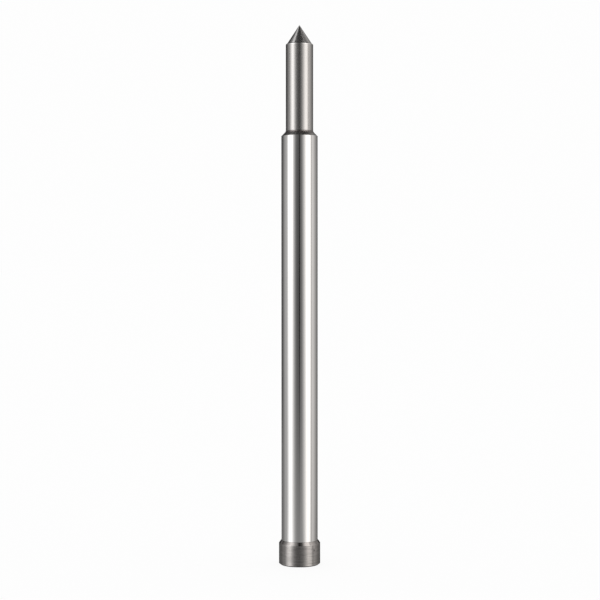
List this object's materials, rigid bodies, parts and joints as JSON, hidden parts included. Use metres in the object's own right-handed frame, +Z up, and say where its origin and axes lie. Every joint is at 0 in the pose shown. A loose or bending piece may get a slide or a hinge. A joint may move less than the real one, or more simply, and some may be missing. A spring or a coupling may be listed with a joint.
{
  "type": "pilot ejector pin",
  "caption": "Stepped ground steel pilot ejector pin: centring point, reduced neck, 45 degree step, long shank and a pressed stop collar as its head.",
  "frame": {"origin": "centre of the flat underside of the head, which is the bottom centre of the bounding box", "axes": "+Z up the pin's axis, from the head to the point; X and Y are equivalent because the pin is turned"},
  "size_m": [0.0092, 0.0092, 0.1185],
  "materials": {
    "ground_steel": "hardened steel, fine cylindrical grinding, almost mirror bright",
    "turned_steel": "turned steel, fine lathe lines, darker, duller and slightly warmer than the shank"
  },
  "bodies": {
    "root": {"pin_shaft": "ground_steel", "head_collar": "turned_steel"}
  },
  "joints": []
}
